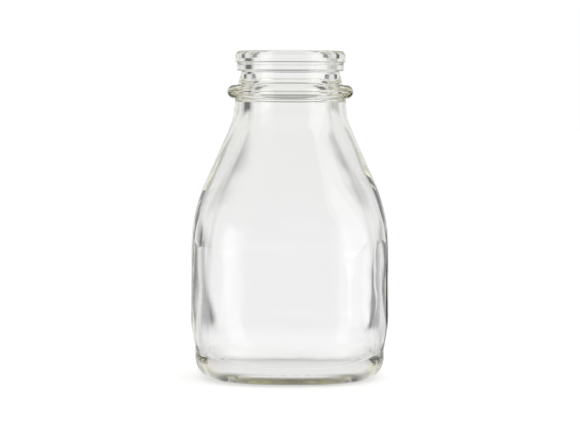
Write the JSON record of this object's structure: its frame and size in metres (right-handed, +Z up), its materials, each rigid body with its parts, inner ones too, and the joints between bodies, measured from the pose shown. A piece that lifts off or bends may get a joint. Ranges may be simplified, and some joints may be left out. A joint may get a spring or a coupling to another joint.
{
  "type": "glass milk bottle",
  "caption": "Clear glass milk bottle with a softly squared body, sloping shoulder, neck bead and open round mouth for a snap cap.",
  "frame": {"origin": "centre of the face the bottle stands on", "axes": "+Z up along the bottle's axis, through its mouth; +X and +Y through the middles of two of its four sides"},
  "size_m": [0.0868, 0.0868, 0.1422],
  "materials": {
    "clear_glass": "smooth"
  },
  "bodies": {
    "root": {"bottle": "clear_glass"}
  },
  "joints": []
}
